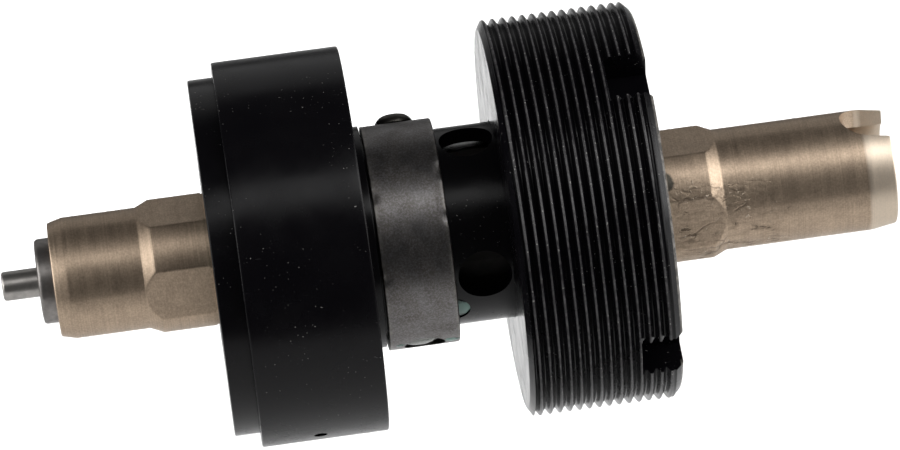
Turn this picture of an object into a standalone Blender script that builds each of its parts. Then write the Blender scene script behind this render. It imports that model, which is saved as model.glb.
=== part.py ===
"""Cartridge bottom bracket with a sliding left cup, a threaded right cup and a hollow square-seat axle.

X runs along the axle, towards the threaded side. The origin is midway between the outboard faces of
the two cups, on the axle's centre line. +Z is the side of the axle with the open drive slot.
"""

from math import asin, cos, pi, radians, sin

import bmesh
import bpy
from mathutils import Matrix, Vector

MM = 0.001

# Body, between the outboard faces of the cups
BODY_LENGTH = 67.0 * MM
FIT_GAP = 0.15 * MM            # radial gap of a piece seated in its bore
FACE_GAP = 0.3 * MM            # axial gap of pieces that meet face to face
RUNNING_GAP = 0.3 * MM         # gap beside what turns

# Left cup
DRUM_DIAMETER = 58.06 * MM
DRUM_LENGTH = 19.1 * MM
FLANGE_STEP = 2.18 * MM        # how far the flange lies below the drum
FLANGE_THICKNESS = 3.84 * MM
BOSS_WALL = 1.75 * MM
BOSS_LENGTH = 1.4 * MM
CUP_CHAMFER = 0.45 * MM
GREASE_HOLE_DIAMETER = 2.0 * MM
GREASE_HOLE_DEPTH = 4.0 * MM
GREASE_HOLE_FROM_STEP = 8.8 * MM
GREASE_HOLE_TURN = radians(-46.0)

# Right cup
THREAD_DIAMETER = 60.0 * MM
THREAD_PITCH = 1.5 * MM
THREAD_DEPTH = 0.92 * MM
RING_LENGTH = 23.0 * MM
RING_CHAMFER = 1.3 * MM
NOTCH_COUNT = 4
NOTCH_WIDTH = 7.5 * MM
NOTCH_LENGTH = 6.3 * MM
NOTCH_DEPTH = 5.4 * MM
NOTCH_TURN = radians(68.5)

# Centre sleeve
SLEEVE_WALL = 2.3 * MM
SLEEVE_CLEARANCE = 1.3 * MM    # round the spacer tube that turns inside it
SLEEVE_HOLE_COUNT = 4
SLEEVE_HOLE_DIAMETER = 8.0 * MM
SLEEVE_HOLE_FROM_RING = 4.2 * MM
SLEEVE_HOLE_TURN = radians(-2.5)
SPOT_DIAMETER = 6.0 * MM
SPOT_DEPTH = 0.7 * MM
SPOT_FROM_COLLAR = 1.1 * MM
SPOT_TURN = radians(-28.0)

# Lock collar and its two set screws
COLLAR_WALL = 1.55 * MM
COLLAR_WIDTH = 10.65 * MM
COLLAR_CHAMFER = 0.4 * MM
COLLAR_PLAY = 0.4 * MM          # all taken up towards the lower screw
SCREW_DIAMETER = 6.0 * MM
SCREW_LENGTH = 4.0 * MM
SCREW_CHAMFER = 1.1 * MM
SCREW_SOCKET = 3.0 * MM
SCREW_SOCKET_DEPTH = 2.0 * MM
SCREW_TURN = radians(131.5)
TOP_SCREW_STANDS = 1.5 * MM
BOTTOM_SCREW_SINKS = 0.5 * MM

# Bearings, 20 x 32 x 7
BEARING_BORE = 20.0 * MM
BEARING_SECTION = 6.0 * MM
BEARING_WIDTH = 7.0 * MM
BEARING_INSET = 5.3 * MM       # from a cup's outboard face to the bearing
RACE_WALL = 1.75 * MM
BALL_DIAMETER = 3.2 * MM
BALL_COUNT = 11
RACE_CONFORMITY = 0.25 * MM
CAGE_WALL = 1.2 * MM
CAGE_END_GAP = 0.4 * MM
SHIELD_THICKNESS = 0.4 * MM
CIRCLIP_THICKNESS = 1.1 * MM
CIRCLIP_GROOVE = 0.7 * MM
CIRCLIP_BAND = 1.7 * MM
CIRCLIP_LUG = 0.9 * MM
CIRCLIP_OPEN = radians(40.0)
CIRCLIP_LUG_ANGLE = radians(15.0)

# Dust seals
SEAL_BODY = 2.7 * MM
SEAL_DISH_WIDTH = 1.7 * MM     # of the cone that sinks towards the axle
SEAL_DISH_DEPTH = 0.8 * MM

# Axle, from a bar as thick as the bearings' bore
FLAT_DEPTH = 0.9 * MM             # of the square's flats and of the round ends, below the bar
AXLE_LEFT_OVERHANG = 23.6 * MM    # from the left cup's face to the end
AXLE_RIGHT_OVERHANG = 35.8 * MM
AXLE_LEFT_TAPER = 2.2 * MM
AXLE_RIGHT_TAPER = 3.7 * MM
AXLE_TIP_DROP = 0.58 * MM
LEFT_SQUARE_LENGTH = 10.3 * MM    # from the left cup's face to where the round begins
RIGHT_SQUARE_LENGTH = 9.9 * MM
SQUARE_LEAD_IN = 2.0 * MM
END_BORE = 13.1 * MM
RIGHT_BORE_DEPTH = 19.0 * MM
THROUGH_BORE = 9.0 * MM
SLOT_WIDTH = 8.0 * MM
SLOT_LENGTH = 6.85 * MM

# Spacer tube between the inner races
SPACER_WALL = 1.2 * MM

# Push rod and the plug that guides it
PLUG_STANDS = 2.3 * MM
PLUG_LENGTH = 10.0 * MM
PLUG_EDGE = 0.6 * MM
ROD_DIAMETER = 4.4 * MM
ROD_STANDS = 5.5 * MM
ROD_GAP = 0.08 * MM
ROD_SHOULDER_GAP = 0.8 * MM
ROD_SHOULDER_LENGTH = 3.0 * MM
ROD_TRAVEL = 4.0 * MM
ROD_TAIL = 6.0 * MM

SIDES_LARGE = 40
SIDES_MEDIUM = 36
SIDES_SMALL = 24

# Places along the axle
LEFT_FACE = -BODY_LENGTH / 2
RIGHT_FACE = BODY_LENGTH / 2
STEP_FACE = LEFT_FACE + FLANGE_THICKNESS
DRUM_END = STEP_FACE + DRUM_LENGTH
BOSS_END = DRUM_END + BOSS_LENGTH
RING_START = RIGHT_FACE - RING_LENGTH
COLLAR_START = BOSS_END + FACE_GAP
COLLAR_END = COLLAR_START + COLLAR_WIDTH
COLLAR_MIDDLE = (COLLAR_START + COLLAR_END) / 2
BEARING_MIDDLE = BODY_LENGTH / 2 - BEARING_INSET - BEARING_WIDTH / 2
BEARING_INBOARD = BEARING_MIDDLE - BEARING_WIDTH / 2
BEARING_OUTBOARD = BEARING_MIDDLE + BEARING_WIDTH / 2
SEAT_SHOULDER = BEARING_INBOARD - FACE_GAP
CIRCLIP_START = BEARING_OUTBOARD + FACE_GAP
GROOVE_START = CIRCLIP_START - FIT_GAP
GROOVE_END = CIRCLIP_START + CIRCLIP_THICKNESS + FIT_GAP

AXLE_LEFT_END = LEFT_FACE - AXLE_LEFT_OVERHANG
AXLE_RIGHT_END = RIGHT_FACE + AXLE_RIGHT_OVERHANG
PLUG_START = AXLE_LEFT_END - PLUG_STANDS
ROD_SHOULDER_START = PLUG_START + PLUG_LENGTH + FACE_GAP
ROD_SHOULDER_END = ROD_SHOULDER_START + ROD_SHOULDER_LENGTH

# Radii that neighbours share, from the axle outwards
BAR_RADIUS = BEARING_BORE / 2
NECK_RADIUS = BAR_RADIUS - FLAT_DEPTH
JOURNAL_RADIUS = BAR_RADIUS - FIT_GAP
SPACER_RADIUS = JOURNAL_RADIUS + FIT_GAP + SPACER_WALL
SLEEVE_BORE_RADIUS = SPACER_RADIUS + SLEEVE_CLEARANCE
SLEEVE_RADIUS = SLEEVE_BORE_RADIUS + SLEEVE_WALL
SLEEVE_SEAT_RADIUS = SLEEVE_RADIUS + FIT_GAP
COLLAR_BORE_RADIUS = SLEEVE_SEAT_RADIUS + COLLAR_PLAY
COLLAR_RADIUS = COLLAR_BORE_RADIUS + COLLAR_WALL
BOSS_RADIUS = SLEEVE_SEAT_RADIUS + BOSS_WALL
PITCH_RADIUS = BAR_RADIUS + BEARING_SECTION / 2
RACE_BACK_RADIUS = BAR_RADIUS + BEARING_SECTION
SEAT_RADIUS = RACE_BACK_RADIUS + FIT_GAP


def clear_scene():
    for old in list(bpy.data.objects):
        bpy.data.objects.remove(old, do_unlink=True)


def material(name, colour, roughness, metallic):
    made = bpy.data.materials.new(name)
    made.use_nodes = True
    shader = made.node_tree.nodes["Principled BSDF"]
    shader.inputs["Base Color"].default_value = (*colour, 1.0)
    shader.inputs["Roughness"].default_value = roughness
    shader.inputs["Metallic"].default_value = metallic
    return made


def finish_mesh(bm, name):
    """Turns a bmesh into a mesh with outward faces, smooth but for its edges."""
    bm.normal_update()
    bmesh.ops.recalc_face_normals(bm, faces=bm.faces)
    mesh = bpy.data.meshes.new(name)
    bm.to_mesh(mesh)
    bm.free()
    mesh.shade_smooth()
    mesh.set_sharp_from_angle(angle=radians(30.0))
    return mesh


def place(name, mesh, look, parent, x=0.0, side=1):
    """Adds an object at x on the axle. side -1 turns it to face the left."""
    obj = bpy.data.objects.new(name, mesh)
    bpy.context.scene.collection.objects.link(obj)
    if not mesh.materials:
        mesh.materials.append(look)
    obj.location = (side * x, 0.0, 0.0)
    if side < 0:
        obj.rotation_euler = (0.0, 0.0, pi)
    obj.parent = parent
    return obj


def pivot(name):
    empty = bpy.data.objects.new(name, None)
    bpy.context.scene.collection.objects.link(empty)
    return empty


def around(x, radius, angle):
    """The point at this radius and angle about X. Angle 0 is -Y and 90 degrees is +Z."""
    return Vector((x, -radius * cos(angle), radius * sin(angle)))


def turned(name, profile, sides):
    """Turns a closed outline of (x, radius) points about X. A radius of 0 closes on the axis."""
    bm = bmesh.new()
    rings = []
    for x, radius in profile:
        if radius == 0:
            rings.append([bm.verts.new((x, 0.0, 0.0))] * sides)
            continue
        rings.append([bm.verts.new(around(x, radius, 2 * pi * i / sides)) for i in range(sides)])
    for ring, following in zip(rings, rings[1:] + rings[:1]):
        for i in range(sides):
            j = (i + 1) % sides
            corners = dict.fromkeys((ring[i], ring[j], following[j], following[i]))
            if len(corners) > 2:
                bm.faces.new(corners)
    return finish_mesh(bm, name)


def extruded(name, outline, start, end):
    """Extrudes an outline of (y, z) points from start to end along X."""
    bm = bmesh.new()
    near = [bm.verts.new((start, y, z)) for y, z in outline]
    far = [bm.verts.new((end, y, z)) for y, z in outline]
    bm.faces.new(near)
    bm.faces.new(far)
    for i in range(len(outline)):
        j = (i + 1) % len(outline)
        bm.faces.new((near[i], near[j], far[j], far[i]))
    return finish_mesh(bm, name)


def box_between(bm, low, high, turn):
    """Adds a box of (x, tangent, radial) corners, turned about X so that radial points at turn."""
    made = bmesh.ops.create_cube(bm, size=1.0)["verts"]
    centre = [(a + b) / 2 for a, b in zip(low, high)]
    size = [b - a for a, b in zip(low, high)]
    outward = around(0.0, 1.0, turn)
    sideways = outward.cross(Vector((1.0, 0.0, 0.0)))
    for vert in made:
        x, across, up = (c + s * v for c, s, v in zip(centre, size, vert.co))
        vert.co = Vector((x, 0.0, 0.0)) + sideways * across + outward * up


def rod_at(bm, x, turn, radius, low, high, sides):
    """Adds a radial cylinder at x, from low to high out from the axle's centre line."""
    outward = around(0.0, 1.0, turn)
    matrix = Matrix.Translation(around(x, (low + high) / 2, turn)) @ outward.to_track_quat(
        "Z", "Y"
    ).to_matrix().to_4x4()
    bmesh.ops.create_cone(
        bm, cap_ends=True, segments=sides, radius1=radius, radius2=radius,
        depth=high - low, matrix=matrix,
    )


def cut(target, bm, name):
    """Cuts the shape in bm from target, as a live Boolean with a hidden cutter."""
    cutter = bpy.data.objects.new(name, finish_mesh(bm, name))
    bpy.context.scene.collection.objects.link(cutter)
    cutter.hide_render = True
    cutter.display_type = "WIRE"
    cutter.parent = target.parent
    boolean = target.modifiers.new(name, "BOOLEAN")
    boolean.operation = "DIFFERENCE"
    boolean.solver = "EXACT"
    boolean.object = cutter


def bearing_seat(face, side):
    """The outline of a cup's bore from its outboard face to its inboard end, for a cup on this side."""
    groove_radius = SEAT_RADIUS + CIRCLIP_GROOVE
    return [
        (face, SEAT_RADIUS),
        (side * GROOVE_END, SEAT_RADIUS),
        (side * GROOVE_END, groove_radius),
        (side * GROOVE_START, groove_radius),
        (side * GROOVE_START, SEAT_RADIUS),
        (side * SEAT_SHOULDER, SEAT_RADIUS),
        (side * SEAT_SHOULDER, SLEEVE_SEAT_RADIUS),
    ]


def make_left_cup(look, parent):
    drum = DRUM_DIAMETER / 2
    flange = drum - FLANGE_STEP
    boss = BOSS_RADIUS
    edge = CUP_CHAMFER
    profile = [
        *bearing_seat(LEFT_FACE, -1),
        (BOSS_END, SLEEVE_SEAT_RADIUS),
        (BOSS_END, boss - edge),
        (BOSS_END - edge, boss),
        (DRUM_END, boss),
        (DRUM_END, drum - edge),
        (DRUM_END - edge, drum),
        (STEP_FACE + edge, drum),
        (STEP_FACE, drum - edge),
        (STEP_FACE, flange),
        (LEFT_FACE + edge, flange),
        (LEFT_FACE, flange - edge),
    ]
    cup = place("left_cup", turned("left_cup", profile, SIDES_LARGE), look, parent)
    hole = bmesh.new()
    rod_at(
        hole, STEP_FACE + GREASE_HOLE_FROM_STEP, GREASE_HOLE_TURN, GREASE_HOLE_DIAMETER / 2,
        drum - GREASE_HOLE_DEPTH, drum + FACE_GAP, 10,
    )
    cut(cup, hole, "grease_hole_cutter")


def thread_ridges(start, end, crest, root):
    """Points of ridges one pitch apart that fill the length from start to end."""
    turns = int((end - start) / THREAD_PITCH)
    margin = (end - start - turns * THREAD_PITCH) / 2
    points = []
    for i in range(turns):
        valley = start + margin + i * THREAD_PITCH
        points += [(valley, root), (valley + THREAD_PITCH / 2, crest)]
    return [*points, (start + margin + turns * THREAD_PITCH, root)]


def make_right_cup(look, parent):
    crest = THREAD_DIAMETER / 2
    root = crest - THREAD_DEPTH
    tip = crest - RING_CHAMFER
    ridges = thread_ridges(RING_START + RING_CHAMFER / 2, RIGHT_FACE - RING_CHAMFER, crest, root)
    profile = [
        *bearing_seat(RIGHT_FACE, 1),
        (RING_START, SLEEVE_SEAT_RADIUS),
        (RING_START, tip),
        *ridges,
        (RIGHT_FACE, tip),
    ]
    cup = place("right_threaded_cup", turned("right_threaded_cup", profile, SIDES_MEDIUM), look, parent)
    for i in range(NOTCH_COUNT):
        notch = bmesh.new()
        box_between(
            notch,
            (RIGHT_FACE - NOTCH_LENGTH, -NOTCH_WIDTH / 2, crest - NOTCH_DEPTH),
            (RIGHT_FACE + RING_CHAMFER, NOTCH_WIDTH / 2, crest + RING_CHAMFER),
            NOTCH_TURN + 2 * pi * i / NOTCH_COUNT,
        )
        cut(cup, notch, f"notch_cutter_{i + 1}")


def make_sleeve(look, parent):
    """The sleeve reaches from bearing to bearing, through both cups and the collar."""
    outer = SLEEVE_RADIUS
    inner = SLEEVE_BORE_RADIUS
    end = SEAT_SHOULDER
    profile = [(-end, inner), (end, inner), (end, outer), (-end, outer)]
    sleeve = place("centre_sleeve", turned("centre_sleeve", profile, SIDES_MEDIUM), look, parent)
    holes = bmesh.new()
    for i in range(SLEEVE_HOLE_COUNT):
        rod_at(
            holes, RING_START - SLEEVE_HOLE_FROM_RING,
            SLEEVE_HOLE_TURN + 2 * pi * i / SLEEVE_HOLE_COUNT,
            SLEEVE_HOLE_DIAMETER / 2, inner - 2 * MM, outer + 2 * MM, 16,
        )
    cut(sleeve, holes, "sleeve_hole_cutter")
    spot = bmesh.new()
    rod_at(
        spot, COLLAR_END - SPOT_FROM_COLLAR, SPOT_TURN, SPOT_DIAMETER / 2,
        outer - SPOT_DEPTH, outer + 2 * MM, 16,
    )
    cut(sleeve, spot, "spot_cutter")
    seats = bmesh.new()
    for turn, _ in screw_seats():
        rod_at(
            seats, COLLAR_MIDDLE, turn, SCREW_DIAMETER / 2 + FIT_GAP,
            inner - 2 * MM, outer + 2 * MM, 12,
        )
    cut(sleeve, seats, "screw_seat_cutter")


def screw_seats():
    """(turn, inner end) of each set screw: one stands proud of the collar and one is sunk in it."""
    return [
        (SCREW_TURN, COLLAR_RADIUS - COLLAR_PLAY + TOP_SCREW_STANDS - SCREW_LENGTH),
        (SCREW_TURN + pi, COLLAR_RADIUS + COLLAR_PLAY - BOTTOM_SCREW_SINKS - SCREW_LENGTH),
    ]


def make_collar(look, parent):
    """The collar sits off centre by its play, so its upper side touches the sleeve."""
    outer = COLLAR_RADIUS
    edge = COLLAR_CHAMFER
    profile = [
        (COLLAR_START, COLLAR_BORE_RADIUS),
        (COLLAR_END, COLLAR_BORE_RADIUS),
        (COLLAR_END, outer - edge),
        (COLLAR_END - edge, outer),
        (COLLAR_START + edge, outer),
        (COLLAR_START, outer - edge),
    ]
    mesh = turned("lock_collar", profile, SIDES_MEDIUM)
    mesh.transform(Matrix.Translation(around(0.0, COLLAR_PLAY, SCREW_TURN + pi)))
    collar = place("lock_collar", mesh, look, parent)
    holes = bmesh.new()
    for turn, _ in screw_seats():
        rod_at(
            holes, COLLAR_MIDDLE, turn, SCREW_DIAMETER / 2 + FIT_GAP,
            SLEEVE_RADIUS - 2 * MM, outer + COLLAR_PLAY + 2 * MM, 12,
        )
    cut(collar, holes, "collar_hole_cutter")


def make_set_screw(name, turn, low, look, parent):
    """A headless screw along its own X, with a hexagon socket in its outer end."""
    radius = SCREW_DIAMETER / 2
    profile = [
        (0.0, 0.0),
        (0.0, radius - SCREW_CHAMFER),
        (SCREW_CHAMFER, radius),
        (SCREW_LENGTH - SCREW_CHAMFER, radius),
        (SCREW_LENGTH, radius - SCREW_CHAMFER),
        (SCREW_LENGTH, 0.0),
    ]
    screw = place(name, turned(name, profile, 12), look, parent)
    outward = around(0.0, 1.0, turn)
    screw.rotation_euler = outward.to_track_quat("X", "Y").to_euler()
    screw.location = around(COLLAR_MIDDLE, low, turn)
    socket = bmesh.new()
    bmesh.ops.create_cone(
        socket, cap_ends=True, segments=6, radius1=SCREW_SOCKET / 3**0.5,
        radius2=SCREW_SOCKET / 3**0.5, depth=2 * SCREW_SOCKET_DEPTH,
        matrix=Matrix.Translation((SCREW_LENGTH, 0.0, 0.0)) @ Matrix.Rotation(pi / 2, 4, "Y"),
    )
    cut(screw, socket, name + "_socket_cutter")
    cutter = bpy.data.objects[name + "_socket_cutter"]
    cutter.rotation_euler = screw.rotation_euler
    cutter.location = screw.location


def axle_profile():
    stock = BAR_RADIUS
    neck = NECK_RADIUS
    tip = NECK_RADIUS - AXLE_TIP_DROP
    end_bore = END_BORE / 2
    through = THROUGH_BORE / 2
    left_round = LEFT_FACE - LEFT_SQUARE_LENGTH
    right_round = RIGHT_FACE + RIGHT_SQUARE_LENGTH
    groove = JOURNAL_RADIUS - CIRCLIP_GROOVE
    rod_chamber_end = ROD_SHOULDER_END + ROD_TRAVEL + FACE_GAP
    journal = BODY_LENGTH / 2 + FACE_GAP
    return [
        (AXLE_LEFT_END, end_bore),
        (AXLE_LEFT_END, tip),
        (AXLE_LEFT_END + AXLE_LEFT_TAPER, neck),
        (left_round, neck),
        (left_round + SQUARE_LEAD_IN, stock),
        (-journal, stock),
        (-journal, JOURNAL_RADIUS),
        (-GROOVE_END, JOURNAL_RADIUS),
        (-GROOVE_END, groove),
        (-GROOVE_START, groove),
        (-GROOVE_START, JOURNAL_RADIUS),
        (GROOVE_START, JOURNAL_RADIUS),
        (GROOVE_START, groove),
        (GROOVE_END, groove),
        (GROOVE_END, JOURNAL_RADIUS),
        (journal, JOURNAL_RADIUS),
        (journal, stock),
        (right_round - SQUARE_LEAD_IN, stock),
        (right_round, neck),
        (AXLE_RIGHT_END - AXLE_RIGHT_TAPER, neck),
        (AXLE_RIGHT_END, tip),
        (AXLE_RIGHT_END, end_bore),
        (AXLE_RIGHT_END - RIGHT_BORE_DEPTH, end_bore),
        (AXLE_RIGHT_END - RIGHT_BORE_DEPTH - 2 * MM, through),
        (rod_chamber_end, through),
        (rod_chamber_end, end_bore),
    ]


def slot_outline():
    """(x, y) outline of the open slot: a half round, then straight walls past the axle's end."""
    half = SLOT_WIDTH / 2
    centre = AXLE_RIGHT_END - SLOT_LENGTH + half
    beyond = AXLE_RIGHT_END + 2 * MM
    arc = [pi / 2 + pi * i / 12 for i in range(13)]
    return [(beyond, -half), (beyond, half)] + [
        (centre + half * cos(a), half * sin(a)) for a in arc
    ]


def make_axle(look, parent):
    axle = place("axle", turned("axle", axle_profile(), SIDES_MEDIUM), look, parent)
    flats = bmesh.new()
    ends = (
        (LEFT_FACE - LEFT_SQUARE_LENGTH - MM, LEFT_FACE),
        (RIGHT_FACE, RIGHT_FACE + RIGHT_SQUARE_LENGTH + MM),
    )
    half_flat = BAR_RADIUS * sin(pi / 4) - MM
    for start, end in ends:
        for i in range(4):
            box_between(
                flats,
                (start, -half_flat, NECK_RADIUS),
                (end, half_flat, BAR_RADIUS + MM),
                i * pi / 2,
            )
    cut(axle, flats, "flat_cutter")
    slot = bmesh.new()
    low = [slot.verts.new((x, y, 0.0)) for x, y in slot_outline()]
    high = [slot.verts.new((x, y, BEARING_BORE)) for x, y in slot_outline()]
    slot.faces.new(low)
    slot.faces.new(high)
    for i in range(len(low)):
        j = (i + 1) % len(low)
        slot.faces.new((low[i], low[j], high[j], high[i]))
    cut(axle, slot, "slot_cutter")


def make_plug(look, parent):
    radius = END_BORE / 2 - FIT_GAP
    bore = ROD_DIAMETER / 2 + ROD_GAP
    start = PLUG_START
    edge = PLUG_EDGE
    arc = [(edge * (1 - sin(a)), radius - edge * (1 - cos(a))) for a in (i * pi / 6 for i in range(4))]
    profile = [
        *((start + x, r) for x, r in reversed(arc)),
        (start + PLUG_LENGTH, radius),
        (start + PLUG_LENGTH, bore),
        (start, bore),
    ]
    place("axle_end_plug", turned("axle_end_plug", profile, SIDES_SMALL), look, parent)


def make_push_rod(look, parent):
    radius = ROD_DIAMETER / 2
    shoulder = END_BORE / 2 - ROD_SHOULDER_GAP
    tip = PLUG_START - ROD_STANDS
    edge = radius / 6
    profile = [
        (tip, 0.0),
        (tip, radius - edge),
        (tip + edge, radius),
        (ROD_SHOULDER_START, radius),
        (ROD_SHOULDER_START, shoulder),
        (ROD_SHOULDER_END, shoulder),
        (ROD_SHOULDER_END, radius),
        (ROD_SHOULDER_END + ROD_TAIL, radius),
        (ROD_SHOULDER_END + ROD_TAIL, 0.0),
    ]
    place("push_rod", turned("push_rod", profile, SIDES_SMALL), look, parent)


def make_spacer(look, parent):
    inner = SPACER_RADIUS - SPACER_WALL
    outer = SPACER_RADIUS
    end = BEARING_INBOARD - FACE_GAP
    profile = [(-end, inner), (end, inner), (end, outer), (-end, outer)]
    place("inner_spacer", turned("inner_spacer", profile, SIDES_SMALL), look, parent)


def race_outline(shoulder, back, outward):
    """Half-width points of a race: its back, its shoulders and the ball groove between them.

    outward is 1 where the groove opens away from the axle and -1 where it opens towards it.
    """
    half = BEARING_WIDTH / 2
    groove = BALL_DIAMETER / 2 + RACE_CONFORMITY
    reach = asin(abs(PITCH_RADIUS - shoulder) / groove)
    arc = [-(pi / 2 - reach) + (pi - 2 * reach) * i / 4 for i in range(5)]
    points = [(groove * sin(a), PITCH_RADIUS - outward * groove * cos(a)) for a in arc]
    return [(-half, back), (-half, shoulder), *points, (half, shoulder), (half, back)]


def make_bearing(side, name, looks, fixed, spinning, caged):
    inner_shoulder = BAR_RADIUS + RACE_WALL
    outer_shoulder = RACE_BACK_RADIUS - RACE_WALL
    inner = race_outline(inner_shoulder, BAR_RADIUS, 1)
    outer = race_outline(outer_shoulder, RACE_BACK_RADIUS, -1)
    middle = BEARING_MIDDLE
    place(name + "_inner_race", turned("inner_race", inner, SIDES_SMALL), looks["race"], spinning, middle, side)
    place(name + "_outer_race", turned("outer_race", outer, SIDES_SMALL), looks["race"], fixed, middle, side)
    make_cage(side, name, looks, caged)
    shield_low = inner_shoulder + RUNNING_GAP
    shield_high = outer_shoulder - RUNNING_GAP
    for label, sign in (("inboard", -1), ("outboard", 1)):
        near = sign * (BEARING_WIDTH / 2 - SHIELD_THICKNESS)
        far = sign * BEARING_WIDTH / 2
        profile = [(near, shield_low), (far, shield_low), (far, shield_high), (near, shield_high)]
        shield = turned("bearing_shield", profile, SIDES_SMALL)
        place(f"{name}_shield_{label}", shield, looks["shield"], fixed, middle, side)


def make_cage(side, name, looks, caged):
    half = BEARING_WIDTH / 2 - SHIELD_THICKNESS - CAGE_END_GAP
    inner = PITCH_RADIUS - CAGE_WALL / 2
    outer = PITCH_RADIUS + CAGE_WALL / 2
    profile = [(-half, inner), (half, inner), (half, outer), (-half, outer)]
    cage = place(
        name + "_ball_cage", turned("ball_cage", profile, 2 * BALL_COUNT), looks["cage"], caged,
        BEARING_MIDDLE, side,
    )
    pockets = bmesh.new()
    ball = bmesh.new()
    bmesh.ops.create_uvsphere(ball, u_segments=8, v_segments=4, radius=BALL_DIAMETER / 2)
    ball_mesh = finish_mesh(ball, "ball")
    for i in range(BALL_COUNT):
        turn = 2 * pi * i / BALL_COUNT
        rod_at(
            pockets, side * BEARING_MIDDLE, turn, BALL_DIAMETER / 2 + RACE_CONFORMITY,
            inner - MM, outer + MM, 8,
        )
        made = place(f"{name}_ball_{i + 1:02d}", ball_mesh, looks["ball"], caged)
        made.location = around(side * BEARING_MIDDLE, PITCH_RADIUS, turn)
    cut(cage, pockets, name + "_pocket_cutter")


def circlip_outline(back, band, lug):
    """(y, z) outline of an open ring: back is the radius held in the groove, lug the free one."""
    start = -pi / 2 + CIRCLIP_OPEN / 2
    sweep = 2 * pi - CIRCLIP_OPEN
    steps = 18
    far = [(back, start + sweep * i / steps) for i in range(steps + 1)]
    inside = CIRCLIP_LUG_ANGLE
    ring = [(band, start + inside + (sweep - 2 * inside) * i / steps) for i in range(steps + 1)]
    free = [(lug, start), (lug, start + inside), *ring, (lug, start + sweep - inside), (lug, start + sweep)]
    return [(r * cos(a), r * sin(a)) for r, a in far + free[::-1]]


def make_circlips(side, name, look, fixed, spinning):
    start = CIRCLIP_START
    end = CIRCLIP_START + CIRCLIP_THICKNESS
    cup_back = SEAT_RADIUS + CIRCLIP_GROOVE - FIT_GAP
    cup_band = cup_back - CIRCLIP_BAND
    cup_outline = circlip_outline(cup_back, cup_band, cup_band - CIRCLIP_LUG)
    axle_back = JOURNAL_RADIUS - CIRCLIP_GROOVE + FIT_GAP
    axle_band = axle_back + CIRCLIP_BAND
    axle_outline = circlip_outline(axle_back, axle_band, axle_band + CIRCLIP_LUG)
    for label, outline, parent in (("cup", cup_outline, fixed), ("axle", axle_outline, spinning)):
        mesh = extruded(f"{label}_circlip", outline, start, end)
        place(f"{name}_{label}_circlip", mesh, look, parent, 0.0, side)


def make_dust_seal(side, name, look, parent):
    """A flat seal inside the cup's mouth, with a shallow cone sinking to its lip."""
    lip = BAR_RADIUS + RUNNING_GAP
    body = SEAT_RADIUS - FIT_GAP
    start = GROOVE_END + FIT_GAP
    front = BODY_LENGTH / 2 - FACE_GAP
    back = max(start, front - SEAL_BODY)
    profile = [
        (back, lip),
        (back, body),
        (front, body),
        (front, lip + SEAL_DISH_WIDTH),
        (front - SEAL_DISH_DEPTH, lip),
    ]
    place(name + "_dust_seal", turned("dust_seal", profile, SIDES_MEDIUM), look, parent, 0.0, side)


def main():
    clear_scene()
    looks = {
        "black": material("black anodised aluminium", (0.012, 0.012, 0.013), 0.28, 0.3),
        "bronze": material("bronze hard-anodised aluminium", (0.36, 0.27, 0.19), 0.36, 1.0),
        "collar": material("blued steel", (0.085, 0.08, 0.075), 0.38, 1.0),
        "steel": material("plain turned steel", (0.42, 0.42, 0.43), 0.32, 1.0),
        "screw": material("black oxide steel", (0.05, 0.05, 0.05), 0.4, 1.0),
        "race": material("ground bearing steel", (0.55, 0.55, 0.56), 0.2, 1.0),
        "ball": material("polished bearing steel", (0.7, 0.7, 0.71), 0.08, 1.0),
        "cage": material("pressed nylon", (0.75, 0.7, 0.6), 0.5, 0.0),
        "shield": material("bearing seal rubber", (0.02, 0.02, 0.02), 0.6, 0.0),
        "circlip": material("spring steel", (0.1, 0.1, 0.11), 0.4, 1.0),
        "seal": material("grey-green seal rubber", (0.09, 0.105, 0.1), 0.55, 0.0),
        "spacer": material("dark bronze aluminium tube", (0.16, 0.12, 0.09), 0.4, 1.0),
    }
    fixed = pivot("fixed_side")
    spinning = pivot("axle_spin")
    rod_slide = pivot("push_rod_slide")
    rod_slide.parent = spinning

    make_left_cup(looks["black"], fixed)
    make_right_cup(looks["black"], fixed)
    make_sleeve(looks["black"], fixed)
    make_collar(looks["collar"], fixed)
    for name, (turn, low) in zip(("set_screw_top", "set_screw_bottom"), screw_seats()):
        make_set_screw(name, turn, low, looks["screw"], fixed)
    make_axle(looks["bronze"], spinning)
    make_spacer(looks["spacer"], spinning)
    make_plug(looks["steel"], spinning)
    make_push_rod(looks["steel"], rod_slide)
    for side, name in ((-1, "left"), (1, "right")):
        caged = pivot(name + "_cage_spin")
        make_bearing(side, name, looks, fixed, spinning, caged)
        make_circlips(side, name, looks["circlip"], fixed, spinning)
        make_dust_seal(side, name, looks["seal"], fixed)


main()
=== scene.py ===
"""Bottom bracket: finished surfaces, materials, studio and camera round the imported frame.

X runs along the axle towards the threaded cup, and +Z is the side of the axle's open drive slot.
"""

from math import cos, pi, radians, sin, sqrt

import bmesh
import bpy
from bpy.props import FloatProperty, FloatVectorProperty, IntProperty, PointerProperty
from bpy.types import Operator, Panel, PropertyGroup, Scene
from mathutils import Matrix, Vector


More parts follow.
